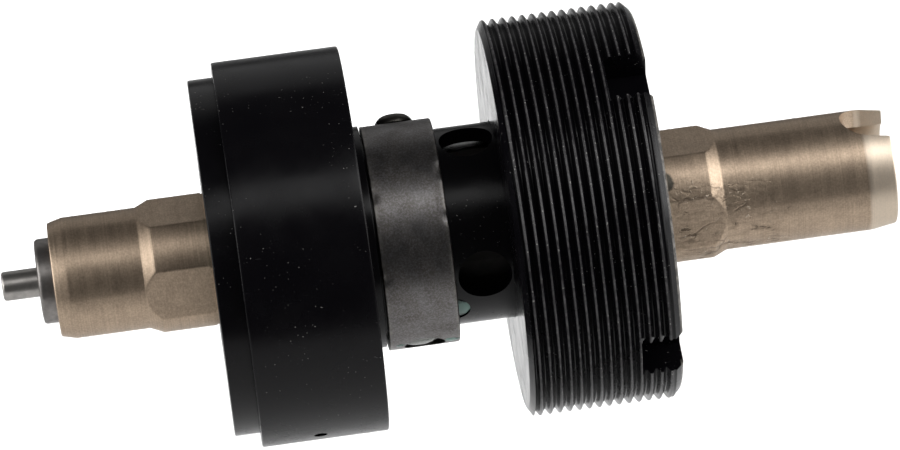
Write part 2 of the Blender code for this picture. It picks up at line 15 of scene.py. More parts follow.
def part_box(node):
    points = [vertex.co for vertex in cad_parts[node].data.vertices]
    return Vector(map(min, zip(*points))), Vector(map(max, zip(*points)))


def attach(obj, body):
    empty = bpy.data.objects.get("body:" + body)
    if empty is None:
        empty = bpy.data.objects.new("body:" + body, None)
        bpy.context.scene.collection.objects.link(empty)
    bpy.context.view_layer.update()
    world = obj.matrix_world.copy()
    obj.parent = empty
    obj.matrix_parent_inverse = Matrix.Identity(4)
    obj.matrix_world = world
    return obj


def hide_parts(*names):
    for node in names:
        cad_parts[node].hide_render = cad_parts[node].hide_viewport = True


bl_info = {
    "name": "Bottom Bracket",
    "version": (1, 0, 0),
    "blender": (4, 5, 0),
    "location": "3D View > Sidebar > Bracket",
    "description": "Builds a threaded bottom bracket with its cups, sleeve, collar and axle",
    "category": "Add Mesh",
}

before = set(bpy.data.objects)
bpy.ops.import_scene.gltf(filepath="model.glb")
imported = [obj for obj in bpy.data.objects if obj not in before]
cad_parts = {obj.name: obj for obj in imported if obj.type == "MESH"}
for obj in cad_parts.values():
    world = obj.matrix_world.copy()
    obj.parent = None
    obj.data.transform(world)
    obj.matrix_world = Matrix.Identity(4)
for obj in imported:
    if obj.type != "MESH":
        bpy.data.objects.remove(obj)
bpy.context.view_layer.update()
MM = 0.001
AXIS = Vector((1.0, 0.0, 0.0))


# ---------------------------------------------------------------- places that the frame gives


def span(node):
    """(lowest x, highest x, largest radius) of a node about the axle's line."""
    low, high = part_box(node)
    return low.x, high.x, max(high.y, high.z, -low.y, -low.z)


LEFT_FACE, BOSS_END, DRUM_RADIUS = span("left_cup")
RING_START, RIGHT_FACE, CREST_RADIUS = span("right_threaded_cup")
SLEEVE_START, SLEEVE_END, SLEEVE_RADIUS = span("centre_sleeve")
COLLAR_START, COLLAR_END, _ = span("lock_collar")
COLLAR_LOW, COLLAR_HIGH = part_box("lock_collar")
COLLAR_RADIUS = (COLLAR_HIGH.z - COLLAR_LOW.z) / 2
COLLAR_OFFSET = Vector((0.0, COLLAR_LOW.y + COLLAR_RADIUS, COLLAR_LOW.z + COLLAR_RADIUS))
AXLE_START, AXLE_END, _ = span("axle")
PLUG_START, PLUG_END, PLUG_RADIUS = span("axle_end_plug")
ROD_TIP, ROD_TAIL, ROD_SHOULDER_RADIUS = span("push_rod")
BEARING_BORE_RADIUS = 10.0 * MM
COLLAR_MIDDLE = (COLLAR_START + COLLAR_END) / 2


# ---------------------------------------------------------------- settings


def length(name, description, millimetres):
    return FloatProperty(
        name=name, description=description, default=millimetres * MM, unit="LENGTH", precision=5
    )


def angle(name, description, degrees):
    return FloatProperty(name=name, description=description, default=radians(degrees), unit="ROTATION")


def linear(code):
    """An sRGB hex colour as linear red, green, blue and alpha."""
    parts = [int(code[i : i + 2], 16) / 255 for i in (1, 3, 5)]
    return (*(p / 12.92 if p <= 0.04045 else ((p + 0.055) / 1.055) ** 2.4 for p in parts), 1.0)


def colour(name, description, code):
    return FloatVectorProperty(
        name=name, description=description, default=linear(code), size=4, subtype="COLOR",
        min=0.0, max=1.0,
    )


class BracketCups(PropertyGroup):
    """Sizes of the two cups."""

    edge: length("Edge", "Radius of a cup's turned edges", 0.35)
    flange_step: length("Flange step", "How far the flange lies below the drum", 2.18)
    flange_thickness: length("Flange thickness", "Width of the flange", 3.84)
    drum_end: length("Boss length", "How far the boss stands inboard of the drum", 1.4)
    boss_radius: length("Boss radius", "Radius of the boss", 16.7)
    seat_radius: length("Bearing seat", "Radius of the bearing seat", 16.15)
    seat_depth: length("Seat depth", "Depth of the bearing seat from the cup's face", 12.6)
    grease_hole: length("Grease hole", "Diameter of the hole in the drum", 2.0)
    grease_hole_x: length("Grease hole place", "From the drum's step to the hole", 8.8)
    grease_hole_turn: angle("Grease hole turn", "Angle of the hole about the axle", -46.0)
    pitch: length("Thread pitch", "Distance from crest to crest", 1.5)
    depth: length("Thread depth", "Height of the thread", 0.9)
    ring_chamfer: length("Ring chamfer", "Chamfer at the ends of the thread", 1.3)
    notches: IntProperty(name="Notches", description="Spanner notches", default=4, min=1)
    notch_width: length("Notch width", "Width of a spanner notch", 7.5)
    notch_length: length("Notch length", "Length of a notch along the axle", 6.3)
    notch_depth: length("Notch depth", "Depth of a notch from the crests", 5.4)
    notch_turn: angle("Notch turn", "Angle of the first notch about the axle", 68.5)


class BracketCentre(PropertyGroup):
    """Sizes of the sleeve, collar and set screws."""

    sleeve_wall: length("Sleeve wall", "Thickness of the sleeve", 2.3)
    holes: IntProperty(name="Holes", description="Holes round the sleeve", default=4, min=1)
    hole: length("Hole", "Diameter of a sleeve hole", 8.0)
    hole_from_ring: length("Hole place", "From the threaded cup to a hole's centre", 4.2)
    hole_turn: angle("Hole turn", "Angle of the first hole about the axle", -2.5)
    spot: length("Spot seat", "Diameter of the spot-faced screw seat", 6.0)
    spot_depth: length("Spot depth", "Depth of the spot-faced seat", 0.7)
    spot_from_collar: length("Spot place", "From the collar's edge to the seat's centre", 1.1)
    spot_turn: angle("Spot turn", "Angle of the seat about the axle", -28.0)
    edge: length("Edge", "Radius of the collar's edges", 0.35)
    screw: length("Set screw", "Diameter of a set screw", 6.0)
    screw_length: length("Screw length", "Length of a set screw", 4.0)
    screw_chamfer: length("Screw chamfer", "Chamfer at both ends of a set screw", 1.1)
    screw_pitch: length("Screw pitch", "Pitch of a set screw's thread", 1.0)
    screw_socket: length("Socket", "Width across the flats of a screw's socket", 3.0)
    screw_turn: angle("Screw turn", "Angle of the upper screw about the axle", 131.5)
    top_stands: length("Upper screw", "How far the upper screw stands proud", 1.5)
    bottom_sinks: length("Lower screw", "How far the lower screw is sunk", 0.5)


class BracketAxle(PropertyGroup):
    """Sizes of the axle, plug and rod."""

    flat_depth: length("Flat depth", "Depth of the flats below the bar", 0.9)
    square_edge: length("Square edge", "Softness of the edges of the flats", 0.1)
    left_square: length("Left square", "From the left cup to where the round begins", 10.3)
    right_square: length("Right square", "From the right cup to where the round begins", 9.9)
    lead_in: length("Lead-in", "Length of the square's lead-in", 2.0)
    left_taper: length("Left taper", "Length of the left end's taper", 2.2)
    right_taper: length("Right taper", "Length of the right end's taper", 3.7)
    tip_drop: length("Tip drop", "How far a taper falls", 0.58)
    end_bore: length("End bore", "Diameter of the end bores", 13.1)
    slot_width: length("Slot width", "Width of the drive slot", 8.0)
    slot_length: length("Slot length", "Length of the drive slot", 6.85)
    rod: length("Rod", "Diameter of the push rod", 4.4)
    plug_edge: length("Plug edge", "Radius of the plug's edge", 0.7)


class BracketLooks(PropertyGroup):
    """Colours of the finishes."""

    black: colour("Black anodised", "Cups and sleeve", "#070609")
    bronze: colour("Bronze anodised", "Axle", "#c0ab95")
    collar: colour("Dark steel", "Collar", "#6c6a68")
    steel: colour("Plain steel", "Plug and rod", "#b3afab")
    locker: colour("Threadlocker", "Cured threadlocker", "#7fa79c")


class BracketStage(PropertyGroup):
    """Camera, floor and lights."""

    distance: length("Distance", "From the camera to the axle", 829.0)
    lens: FloatProperty(name="Lens", description="Focal length in millimetres", default=221.3)
    elevation: angle("Elevation", "Height of the camera above the axle's level", 30.0)
    roll: angle("Roll", "How far the axle rises to the right in the picture", 7.75)
    camera_x: length("Camera place", "The camera's place along the axle", -36.0)
    target_x: length("Target place", "Where the camera aims, along the axle", 2.68)
    target_up: length("Target height", "How far above the axle the camera aims", 0.15)
    floor_drop: length("Floor", "How far the floor lies below the axle", 230.0)
    floor_front: length("Floor front", "How far the floor reaches in front of the axle", 530.0)
    floor_lamp: FloatProperty(name="Floor lamp", description="Power in watts", default=95.0)
    light: FloatProperty(name="Light", description="Brightness of the panels", default=1.0)
    dark: FloatProperty(name="Dark", description="Light from the dark room around", default=0.05)


# ---------------------------------------------------------------- meshes


def around(x, radius, turn):
    """The point at this radius and angle about the axle. Angle 0 is -Y and 90 degrees is +Z."""
    return Vector((x, -radius * cos(turn), radius * sin(turn)))


def filleted(outline, steps=4):
    """A closed outline of (x, radius) or (x, radius, fillet) points with its corners rounded."""
    points = []
    for i, (x, r, *fillet) in enumerate(outline):
        corner = Vector((x, r))
        size = fillet[0] if fillet else 0.0
        if size == 0.0:
            points.append(corner)
            continue
        before = Vector(outline[i - 1][:2]) - corner
        after = Vector(outline[(i + 1) % len(outline)][:2]) - corner
        size = min(size, 0.45 * before.length, 0.45 * after.length)
        start = corner + before.normalized() * size
        end = corner + after.normalized() * size
        for k in range(steps + 1):
            t = k / steps
            points.append((1 - t) ** 2 * start + 2 * t * (1 - t) * corner + t * t * end)
    return points


def with_rows(points, longest):
    """Adds rows to a closed outline so that no stretch of it is longer than longest(start, end)."""
    made = []
    for start, end in zip(points, points[1:] + points[:1]):
        count = max(1, round((end - start).length / longest(start, end) + 0.49))
        made += [start.lerp(end, k / count) for k in range(count)]
    return made


def turned(bm, points, sides, shape=None):
    """Turns a closed outline about the axle. shape(x, radius, turn) can change a point's radius."""
    rings = []
    for x, radius in points:
        if radius < 1e-9:
            rings.append([bm.verts.new((x, 0.0, 0.0))] * sides)
            continue
        turns = [2 * pi * i / sides for i in range(sides)]
        rings.append(
            [bm.verts.new(around(x, shape(x, radius, a) if shape else radius, a)) for a in turns]
        )
    for ring, following in zip(rings, rings[1:] + rings[:1]):
        for i in range(sides):
            j = (i + 1) % sides
            corners = dict.fromkeys((ring[i], ring[j], following[j], following[i]))
            if len(corners) > 2:
                bm.faces.new(corners)


def linked(name, data):
    """An object of this data, in the scene."""
    obj = bpy.data.objects.new(name, data)
    bpy.context.scene.collection.objects.link(obj)
    return obj


def new_object(name, bm):
    """An object of this mesh, with its faces pointing outwards."""
    bm.normal_update()
    bmesh.ops.recalc_face_normals(bm, faces=bm.faces)
    mesh = bpy.data.meshes.new(name)
    bm.to_mesh(mesh)
    bm.free()
    return linked(name, mesh)


def turned_object(name, outline, sides, rows=None, shape=None):
    """A turned piece. rows is the longest stretch of its outline, or a function of a stretch's ends."""
    points = filleted(outline)
    if rows:
        points = with_rows(points, rows if callable(rows) else lambda start, end: rows)
    bm = bmesh.new()
    turned(bm, points, sides, shape)
    return new_object(name, bm)


def baked(obj):
    """Turns an object's modifiers into its mesh."""
    evaluated = obj.evaluated_get(bpy.context.evaluated_depsgraph_get())
    mesh = bpy.data.meshes.new_from_object(evaluated)
    obj.modifiers.clear()
    old = obj.data
    obj.data = mesh
    bpy.data.meshes.remove(old)
    mesh.name = obj.name
    return obj


def cut(obj, *cutters):
    """Cuts these objects from obj and removes them."""
    for cutter in cutters:
        boolean = obj.modifiers.new("cut", "BOOLEAN")
        boolean.operation = "DIFFERENCE"
        boolean.solver = "EXACT"
        boolean.object = cutter
        baked(obj)
        bpy.data.objects.remove(cutter)
    return obj


def finished(obj, look, body, slot, *nodes, sharp=28.0):
    """Shades a piece, gives it its material, and lets it ride in place of its nodes. Its slot is not used.
    """
    obj.data.materials.clear()
    obj.data.materials.append(look)
    obj.data.shade_smooth()
    obj.data.set_sharp_from_angle(angle=radians(sharp))
    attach(obj, body)
    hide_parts(*nodes)
    return obj


def radial_rod(name, x, turn, radius, low, high, sides=64):
    """A cylinder that points out from the axle's line."""
    outward = around(0.0, 1.0, turn)
    bm = bmesh.new()
    place = Matrix.Translation(around(x, (low + high) / 2, turn))
    bmesh.ops.create_cone(
        bm, cap_ends=True, segments=sides, radius1=radius, radius2=radius, depth=high - low,
        matrix=place @ outward.to_track_quat("Z", "Y").to_matrix().to_4x4(),
    )
    return new_object(name, bm)


# ---------------------------------------------------------------- node trees


def fill(tree, made, inputs):
    """Gives a node's inputs their values: constants, sockets, or nodes whose first output is meant."""
    for socket, value in inputs.items():
        if isinstance(value, bpy.types.Node):
            value = value.outputs[0]
        if isinstance(value, bpy.types.NodeSocket):
            tree.links.new(value, made.inputs[socket])
        else:
            made.inputs[socket].default_value = value
    return made


def node(tree, kind, *values, **settings):
    """Adds a node with these attributes. Its inputs take the values in order, or by name from a dict."""
    made = tree.nodes.new(kind)
    for name, value in settings.items():
        setattr(made, name, value)
    for i, value in enumerate(values):
        fill(tree, made, value if isinstance(value, dict) else {i: value})
    return made


def product(tree, first, *others):
    """Multiplies these values together."""
    for other in others:
        first = node(tree, "ShaderNodeMath", first, other, operation="MULTIPLY")
    return first


def weighted_sum(tree, *terms):
    """Adds up (value, weight) terms."""
    total = 0.0
    for value, weight in terms:
        total = node(tree, "ShaderNodeMath", value, weight, total, operation="MULTIPLY_ADD")
    return total


def lathe_place(tree, place):
    """(x, y, z, radius) of a point about the axle, for marks that run round it."""
    x, y, z = node(tree, "ShaderNodeSeparateXYZ", place).outputs
    square = node(tree, "ShaderNodeMath", product(tree, y, y), product(tree, z, z), operation="ADD")
    return x, y, z, node(tree, "ShaderNodeMath", square, operation="SQRT").outputs[0]


def geometry_tree(name, inputs):
    """A geometry node tree with a mesh and these (name, type) inputs. Returns it and its input node."""
    tree = bpy.data.node_groups.new(name, "GeometryNodeTree")
    tree.interface.new_socket("Geometry", in_out="INPUT", socket_type="NodeSocketGeometry")
    tree.interface.new_socket("Geometry", in_out="OUTPUT", socket_type="NodeSocketGeometry")
    for label, kind in inputs:
        tree.interface.new_socket(label, in_out="INPUT", socket_type=kind)
    return tree, node(tree, "NodeGroupInput").outputs


def finish_tree(tree, geometry, look):
    """Ends a geometry tree: makes instances real and gives them their material."""
    real = node(tree, "GeometryNodeRealizeInstances", geometry)
    painted = node(tree, "GeometryNodeSetMaterial", {"Geometry": real, "Material": look})
    node(tree, "NodeGroupOutput", painted)
    return tree


def grown(obj, tree, values):
    """Runs a geometry tree on obj with these named values and keeps the result as its mesh."""
    modifier = obj.modifiers.new(tree.name, "NODES")
    modifier.node_group = tree
    for item in tree.interface.items_tree:
        if item.item_type == "SOCKET" and item.in_out == "INPUT" and item.name in values:
            modifier[item.identifier] = values[item.name]
    return baked(obj)


def thread_tree(look):
    """Sinks the outside of a turned blank into a helical thread with round crests."""
    names = ("Pitch", "Depth", "Radius", "Start", "End")
    tree, given = geometry_tree("helical_thread", [(name, "NodeSocketFloat") for name in names])
    pitch, depth, crest = given["Pitch"], given["Depth"], given["Radius"]
    x, y, z, radius = lathe_place(tree, node(tree, "GeometryNodeInputPosition"))
    angle = node(tree, "ShaderNodeMath", z, product(tree, y, -1.0), operation="ARCTAN2")
    turn = node(tree, "ShaderNodeMath", angle, 2 * pi, operation="DIVIDE")
    along = node(tree, "ShaderNodeMath", x, pitch, operation="DIVIDE")
    phase = node(tree, "ShaderNodeMath", along, turn, operation="ADD")
    wave = node(tree, "ShaderNodeMath", product(tree, phase, 2 * pi), operation="COSINE")
    valley = node(tree, "ShaderNodeMath", wave, -0.5, 0.5, operation="MULTIPLY_ADD")
    fades = []
    for edge, sign in (("Start", 1.0), ("End", -1.0)):
        inside = node(tree, "ShaderNodeMath", x, given[edge], operation="SUBTRACT")
        half = product(tree, pitch, 0.5)
        share = node(tree, "ShaderNodeMath", product(tree, inside, sign), half, operation="DIVIDE")
        fades.append(node(tree, "ShaderNodeClamp", share))
    skin = node(tree, "ShaderNodeMath", crest, product(tree, depth, 0.05), operation="SUBTRACT")
    outside = node(tree, "ShaderNodeMath", radius, skin, operation="GREATER_THAN")
    mask = product(tree, *fades, outside)
    sunk = node(tree, "ShaderNodeMath", radius, product(tree, valley, mask, depth), operation="SUBTRACT")
    scale = node(tree, "ShaderNodeMath", sunk, radius, operation="DIVIDE")
    moved = node(tree, "ShaderNodeCombineXYZ", x, product(tree, y, scale), product(tree, z, scale))
    threaded = node(
        tree, "GeometryNodeSetPosition", {"Geometry": given["Geometry"], "Position": moved}
    )
    return finish_tree(tree, threaded, look)


def ring_tree(look):
    """Repeats the given mesh evenly about the axle."""
    tree, given = geometry_tree("ring_of_copies", [("Count", "NodeSocketInt")])
    index = node(tree, "GeometryNodeInputIndex")
    turn = node(tree, "ShaderNodeMath", product(tree, index, 2 * pi), given["Count"], operation="DIVIDE")
    copies = node(
        tree, "GeometryNodeInstanceOnPoints",
        {
            "Points": node(tree, "GeometryNodePoints", {"Count": given["Count"]}),
            "Instance": given["Geometry"],
            "Rotation": node(tree, "ShaderNodeCombineXYZ", turn),
        },
    )
    return finish_tree(tree, copies, look)


# ---------------------------------------------------------------- materials


def new_finish(name):
    """A material, its tree, and the place on the piece that its patterns read."""
    look = bpy.data.materials.new(name)
    look.use_nodes = True
    return look, look.node_tree, node(look.node_tree, "ShaderNodeTexCoord").outputs["Object"]


def dressed(look, inputs, height, strength, relief):
    """Gives a material's shader these inputs, and a bump of this height pattern and relief."""
    tree = look.node_tree
    bump = node(tree, "ShaderNodeBump", {"Strength": strength, "Distance": relief, "Height": height})
    fill(tree, tree.nodes["Principled BSDF"], {**inputs, "Normal": bump})
    return look


def layered(tree, base, *layers):
    """Lays (share, colour) layers over a base colour. A layer can name another way to blend."""
    for share, over, *blend in layers:
        over = linear(over) if isinstance(over, str) else over
        blend = blend[0] if blend else "MIX"
        colours = {0: share, 6: base, 7: over}
        base = node(tree, "ShaderNodeMix", colours, data_type="RGBA", blend_type=blend).outputs[2]
    return base


def noise_inputs(place, size, detail=2.0, rough=0.5):
    """The inputs of a noise whose features are about this many metres across."""
    return {"Vector": place, "Scale": 1 / size, "Detail": detail, "Roughness": rough}


def blotches(tree, place, size, detail, rough, low, high, least=0.0, most=1.0):
    """Blotches of about this size: least where the noise is under low, rising to most over high."""
    cloud = node(tree, "ShaderNodeTexNoise", noise_inputs(place, size, detail, rough))
    return node(tree, "ShaderNodeMapRange", cloud, low, high, least, most)


def lathe_lines(tree, place, width):
    """Fine marks left by a turning tool: they change along x and radius, and hardly round the axle."""
    x, y, z, radius = lathe_place(tree, place)
    turn = node(tree, "ShaderNodeMath", z, y, operation="ARCTAN2")
    along = node(tree, "ShaderNodeCombineXYZ", x, radius, product(tree, turn, 0.3 * width))
    return node(tree, "ShaderNodeTexNoise", noise_inputs(along, width, 3.0, 0.6))


def black_anodised(name, settings, crest=None):
    """Aluminium, turned and gloss black anodised: deep black, with specks of dust and fine rubs.

    crest is the radius of a thread's crests, which are rubbed grey and chipped; the ring's outer rim is
    made paler in broken patches.
    """
    look, tree, place = new_finish(name)
    patches = blotches(tree, place, 9.0 * MM, 2.0, 0.5, 0.45, 0.7)
    dust = product(tree, blotches(tree, place, 0.35 * MM, 1.0, 0.5, 0.74, 0.78), patches)
    drawn = node(tree, "ShaderNodeMapping", {"Vector": place, "Scale": (0.12, 1.0, 1.0)})
    rubs = product(tree, blotches(tree, drawn, 0.3 * MM, 2.0, 0.5, 0.7, 0.8), patches, 0.25)
    layers = [(rubs, "#4c4b4d"), (product(tree, dust, 0.7), "#b9b7b2")]
    if crest:
        x, _, _, radius = lathe_place(tree, place)
        broken = blotches(tree, place, 1.2 * MM, 4.0, 0.7, 0.42, 0.62, 0.35)
        chips = blotches(tree, place, 0.5 * MM, 2.0, 0.6, 0.66, 0.7)
        worn = node(tree, "ShaderNodeMapRange", radius, crest - 0.13 * MM, crest - 0.03 * MM)
        rim = node(tree, "ShaderNodeMapRange", x, RIGHT_FACE - 0.5 * MM, RIGHT_FACE - 0.3 * MM)
        outer = node(tree, "ShaderNodeMapRange", radius, crest - 2.1 * MM, crest - 1.7 * MM, 0.0, 0.8)
        layers += [
            (product(tree, worn, broken, 0.45), "#6d6b6c"),
            (product(tree, worn, chips, 0.8), "#9a9894"),
            # the ring's outer rim, made paler in broken patches
            (product(tree, rim, outer, broken), "#8e8a84"),
        ]
    sheen = blotches(tree, place, 5.0 * MM, 3.0, 0.5, 0.3, 0.7, 0.2, 0.3)
    inputs = {
        "Base Color": layered(tree, tuple(settings.black), *layers),
        "Roughness": weighted_sum(tree, (sheen, 1.0), (dust, 0.4)),
        "IOR": 1.3,
    }
    width, strength, relief = (0.4, 0.6, 0.05) if crest else (0.22, 0.12, 0.02)
    return dressed(look, inputs, lathe_lines(tree, place, width * MM), strength, relief * MM)


def bronze_anodised(name, settings, damage):
    """Aluminium bar, fine turned and bronze hard anodised: a satin sheen drawn out round the axle.

    damage is the (start, end) along the axle of the stretch with scrapes from a crank's removal.
    """
    look, tree, place = new_finish(name)
    x = lathe_place(tree, place)[0]
    lines = lathe_lines(tree, place, 0.16 * MM)
    tone = tuple(settings.bronze)
    dark = tuple(c * 0.62 for c in tone[:3]) + (1.0,)
    pale = tuple(min(1.0, c * 1.25) for c in tone[:3]) + (1.0,)
    turned_marks = node(tree, "ShaderNodeMapRange", lines, 0.3, 0.7)
    mottle = product(tree, blotches(tree, place, 3.0 * MM, 4.0, 0.6, 0.35, 0.75), 0.25)
    grain = blotches(tree, place, 0.3 * MM, 3.0, 0.6, 0.3, 0.7, 0.82, 1.16)
    rubbed_end = node(tree, "ShaderNodeMapRange", x, AXLE_END - 4.4 * MM, AXLE_END - 3.9 * MM, 0.0, 0.55)
    start, end = damage
    inside = node(tree, "ShaderNodeMapRange", x, start, start + 2 * MM)
    leaving = node(tree, "ShaderNodeMapRange", x, end - 6 * MM, end, 1.0, 0.0)
    struck_side = tuple(around(0.0, 1.0, radians(-20.0)))
    struck = node(tree, "ShaderNodeVectorMath", place, struck_side, operation="DOT_PRODUCT")
    facing = node(tree, "ShaderNodeMapRange", struck.outputs["Value"], 4 * MM, 7.5 * MM)
    zone = product(tree, inside, leaving, facing)
    drawn = node(tree, "ShaderNodeMapping", {"Vector": place, "Scale": (0.5, 1.0, 1.0)})
    torn = node(tree, "ShaderNodeTexNoise", noise_inputs(drawn, 1.5 * MM, 6.0, 0.72))
    swirl = node(tree, "ShaderNodeTexNoise", noise_inputs(place, 4 * MM, 3.0)).outputs["Color"]
    bend = node(tree, "ShaderNodeVectorMath", swirl, (2.2 * MM,) * 3, operation="MULTIPLY")
    long_drawn = node(tree, "ShaderNodeMapping", {"Vector": place, "Scale": (0.22, 1.0, 1.0)})
    bent = node(tree, "ShaderNodeVectorMath", long_drawn, bend, operation="ADD")
    seams = node(
        tree, "ShaderNodeTexVoronoi", {"Vector": bent, "Scale": 1 / (3.4 * MM)}, feature="DISTANCE_TO_EDGE"
    )
    crack = node(tree, "ShaderNodeMapRange", seams, 0.0, 0.05, 0.8, 0.0)
    patchy = blotches(tree, place, 3.2 * MM, 2.0, 0.5, 0.48, 0.62)
    flecks = blotches(tree, place, 0.55 * MM, 3.0, 0.65, 0.6, 0.68)
    scraped = product(tree, node(tree, "ShaderNodeMapRange", torn, 0.46, 0.6), zone)
    gouge = product(tree, node(tree, "ShaderNodeMapRange", torn, 0.6, 0.64), zone)
    cracked = product(tree, crack, patchy, zone)
    gouged = node(tree, "ShaderNodeMath", gouge, cracked, operation="MAXIMUM")
    bright = product(tree, flecks, patchy, zone)
    smear_place = tuple(around(RIGHT_FACE + MM, 9.9 * MM, radians(42.0)))
    away = node(tree, "ShaderNodeVectorMath", place, smear_place, operation="DISTANCE").outputs["Value"]
    ragged = weighted_sum(tree, (away, 1 / (2.4 * MM)), (torn, 0.5))
    greasy = node(tree, "ShaderNodeMapRange", ragged, 0.8, 0.95, 0.85, 0.0)
    base = layered(
        tree, dark, (turned_marks, pale), (0.62, tone), (mottle, "#7d6c5e"), (1.0, grain, "MULTIPLY"),
        (rubbed_end, "#f0e2cf"), (product(tree, scraped, 0.5), "#a1917e"),
        (product(tree, bright, 0.75), "#e2d6c4"), (product(tree, gouged, 0.65), "#4a3d32"),
        (greasy, "#2b3333"),
    )
    sheen = node(tree, "ShaderNodeMapRange", lathe_lines(tree, place, 0.9 * MM), 0.3, 0.7, 0.38, 0.46)
    rough = weighted_sum(tree, (sheen, 1.0), (scraped, 0.15))
    height = weighted_sum(
        tree, (lines, 0.25), (gouged, -1.6), (product(tree, torn, zone), -3.2), (bright, 1.5)
    )
    inputs = {"Base Color": base, "Roughness": rough, "Metallic": 1.0}
    return dressed(look, inputs, height, 0.6, 0.06 * MM)


def dark_steel(name, settings):
    """Mild steel with a heat-blued, handled skin: mottled brown over grey, rubbed bright at its edges."""
    look, tree, place = new_finish(name)
    drawn = node(tree, "ShaderNodeMapping", {"Vector": place, "Scale": (1.0, 0.8, 0.8)})
    mottle = node(tree, "ShaderNodeTexNoise", noise_inputs(drawn, 3.2 * MM, 6.0, 0.62))
    stains = product(tree, blotches(tree, place, 4.0 * MM, 5.0, 0.6, 0.5, 0.66), 0.3)
    grain = product(tree, blotches(tree, place, 0.3 * MM, 4.0, 0.75, 0.44, 0.66), 0.6)
    from_middle = node(
        tree, "ShaderNodeMath", lathe_place(tree, place)[0], COLLAR_MIDDLE, operation="SUBTRACT"
    )
    aside = node(tree, "ShaderNodeMath", from_middle, operation="ABSOLUTE")
    half = (COLLAR_END - COLLAR_START) / 2
    edge = node(tree, "ShaderNodeMapRange", aside, half - 0.7 * MM, half - 0.1 * MM)
    worn = product(tree, edge, blotches(tree, place, 1.8 * MM, 4.0, 0.7, 0.4, 0.6), 0.7)
    base = layered(
        tree, tuple(settings.collar), (node(tree, "ShaderNodeMapRange", mottle, 0.35, 0.65), "#67635e"),
        (stains, "#3a3633"), (grain, "#98959a"), (worn, "#a7a39d"),
    )
    rough = node(tree, "ShaderNodeMapRange", mottle, 0.3, 0.7, 0.3, 0.46)
    height = weighted_sum(tree, (lathe_lines(tree, place, 0.3 * MM), 0.5), (mottle, 1.0))
    inputs = {"Base Color": base, "Roughness": rough, "Metallic": 1.0}
    return dressed(look, inputs, height, 0.25, 0.04 * MM)


def turned_metal(name, tone, roughness, metallic=1.0):
    """Plain metal off the lathe: an even tone with fine rings."""
    look, tree, place = new_finish(name)
    blotch = node(tree, "ShaderNodeTexNoise", noise_inputs(place, 1.5 * MM, 4.0, 0.6))
    shade = node(tree, "ShaderNodeMapRange", blotch, 0.3, 0.7, 0.72, 1.12)
    rough = node(tree, "ShaderNodeMapRange", blotch, 0.3, 0.7, roughness + 0.06, roughness - 0.06)
    base = layered(tree, tone, (1.0, shade, "MULTIPLY"))
    inputs = {"Base Color": base, "Roughness": rough, "Metallic": metallic}
    return dressed(look, inputs, lathe_lines(tree, place, 0.2 * MM), 0.3, 0.02 * MM)


def moulded(name, tone, roughness):
    """Moulded rubber or nylon: matte, with a faint grain."""
    look, tree, place = new_finish(name)
    grains = node(tree, "ShaderNodeTexNoise", noise_inputs(place, 0.3 * MM, 3.0))
    shade = node(tree, "ShaderNodeMapRange", grains, 0.3, 0.7, 0.85, 1.15)
    inputs = {"Base Color": layered(tree, tone, (1.0, shade, "MULTIPLY")), "Roughness": roughness}
    return dressed(look, inputs, grains, 0.2, 0.03 * MM)


def cured_threadlocker(name, settings, middle=None, reach=1.0):
    """Anaerobic threadlocker squeezed out and set: dark green, with patches of pale teal.

    middle and reach are the centre and radius of one pale teal patch with dark green round it, without
    which the pale teal lies in blotches.
    """
    look, tree, place = new_finish(name)
    blotch = node(tree, "ShaderNodeTexNoise", noise_inputs(place, 1.2 * MM, 4.0, 0.6))
    pale_patch = node(tree, "ShaderNodeMapRange", blotch, 0.25, 0.5)
    if middle:
        away = node(tree, "ShaderNodeVectorMath", place, tuple(middle), operation="DISTANCE")
        ragged = weighted_sum(tree, (away.outputs["Value"], 1 / reach), (blotch, 1.2))
        pale_patch = node(tree, "ShaderNodeMapRange", ragged, 1.38, 1.6, 1.0, 0.0)
    base = layered(tree, linear("#16342b"), (pale_patch, tuple(settings.locker)))
    ripples = node(tree, "ShaderNodeTexNoise", noise_inputs(place, 0.8 * MM, 3.0))
    inputs = {"Base Color": base, "Roughness": 0.35, "IOR": 1.5}
    return dressed(look, inputs, ripples, 0.5, 0.1 * MM)


LOOKS = {}


class BRACKET_OT_materials(Operator):
    """Make the finishes"""

    bl_idname = "bracket.materials"
    bl_label = "Materials"

    def execute(self, context):
        looks = context.scene.bracket_looks
        centre = context.scene.bracket_centre
        damage = (RIGHT_FACE, RIGHT_FACE + 22 * MM)
        pale_patch = around(COLLAR_END + 0.5 * MM, SLEEVE_RADIUS - 0.3 * MM, centre.spot_turn)
        LOOKS.update(
            black=black_anodised("black anodised aluminium", looks),
            thread=black_anodised("black anodised thread", looks, CREST_RADIUS),
            bronze=bronze_anodised("bronze hard-anodised aluminium", looks, damage),
            collar=dark_steel("blued steel", looks),
            steel=turned_metal("turned steel", linear("#918d8a"), 0.38),
            rod=turned_metal("turned steel rod", tuple(looks.steel), 0.36),
            screw=turned_metal("black oxide steel", linear("#55534f"), 0.38),
            race=turned_metal("ground bearing steel", linear("#c9c9cb"), 0.2),
            ball=turned_metal("polished bearing steel", linear("#dcdcde"), 0.1),
            circlip=turned_metal("phosphated spring steel", linear("#4b4b4e"), 0.42),
            # The spacer is a bronze tube, but it is made near black and unshiny: painted shade for the
            # dark inside of the sleeve, seen through its holes.
            spacer=turned_metal("bronze spacer tube painted near black as shade", linear("#15110e"), 0.8, metallic=0.0),
            cage=moulded("moulded nylon", linear("#d8cdb4"), 0.5),
            shield=moulded("bearing shield rubber", linear("#1c1c1e"), 0.55),
            seal=moulded("seal rubber", linear("#4b5553"), 0.45),
            locker=cured_threadlocker("cured threadlocker", looks, pale_patch, 1.9 * MM),
            locker_skin=cured_threadlocker("threadlocker smear", looks),
            # A pale cap over the lower screw's socket: a painted highlight on that screw's end.
            locker_dry=moulded("pale cap painted as the lower screw's highlight", linear("#c3c6c1"), 0.35),
        )
        return {"FINISHED"}


# ---------------------------------------------------------------- pieces


